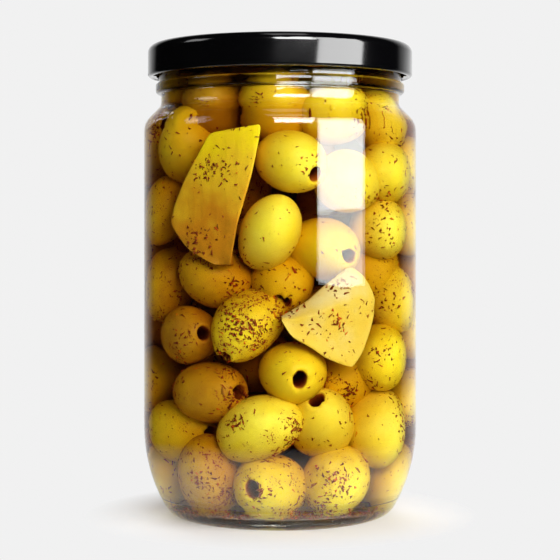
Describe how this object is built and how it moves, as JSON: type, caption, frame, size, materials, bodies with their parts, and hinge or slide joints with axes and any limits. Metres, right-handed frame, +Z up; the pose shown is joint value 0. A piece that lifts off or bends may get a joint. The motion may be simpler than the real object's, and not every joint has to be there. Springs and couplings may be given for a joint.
{
  "type": "jar of pitted olives",
  "caption": "Sealed glass jar of pitted green olives and garlic cloves in herbed oil, with a black metal twist-off lid",
  "frame": {"origin": "the centre of the ring that the jar stands on, at the bottom of the glass", "axes": "+Z runs up the jar's axis from base to lid; -Y is the side of the jar that shows the cut garlic clove on the left and the whole one on the right"},
  "size_m": [0.086, 0.086, 0.1482],
  "materials": {
    "jar_glass": "clear blown container glass with a faint green cast in its thick base",
    "lid_enamel": "gloss black enamel baked on pressed tinplate",
    "seal_rubber": "soft cream sealing compound",
    "olive_flesh": "smooth wet olive skin, yellow, specked with dried herbs",
    "garlic_flesh": "smooth wet garlic, golden from the oil",
    "oil": "clear golden oil"
  },
  "bodies": {
    "root": {"glass_jar": "jar_glass", "lid": "lid_enamel", "lid_seal": "seal_rubber", "olive_heap": "olive_flesh", "garlic_clove_cut": "garlic_flesh", "garlic_clove_whole": "garlic_flesh", "oil": "oil"}
  },
  "joints": []
}
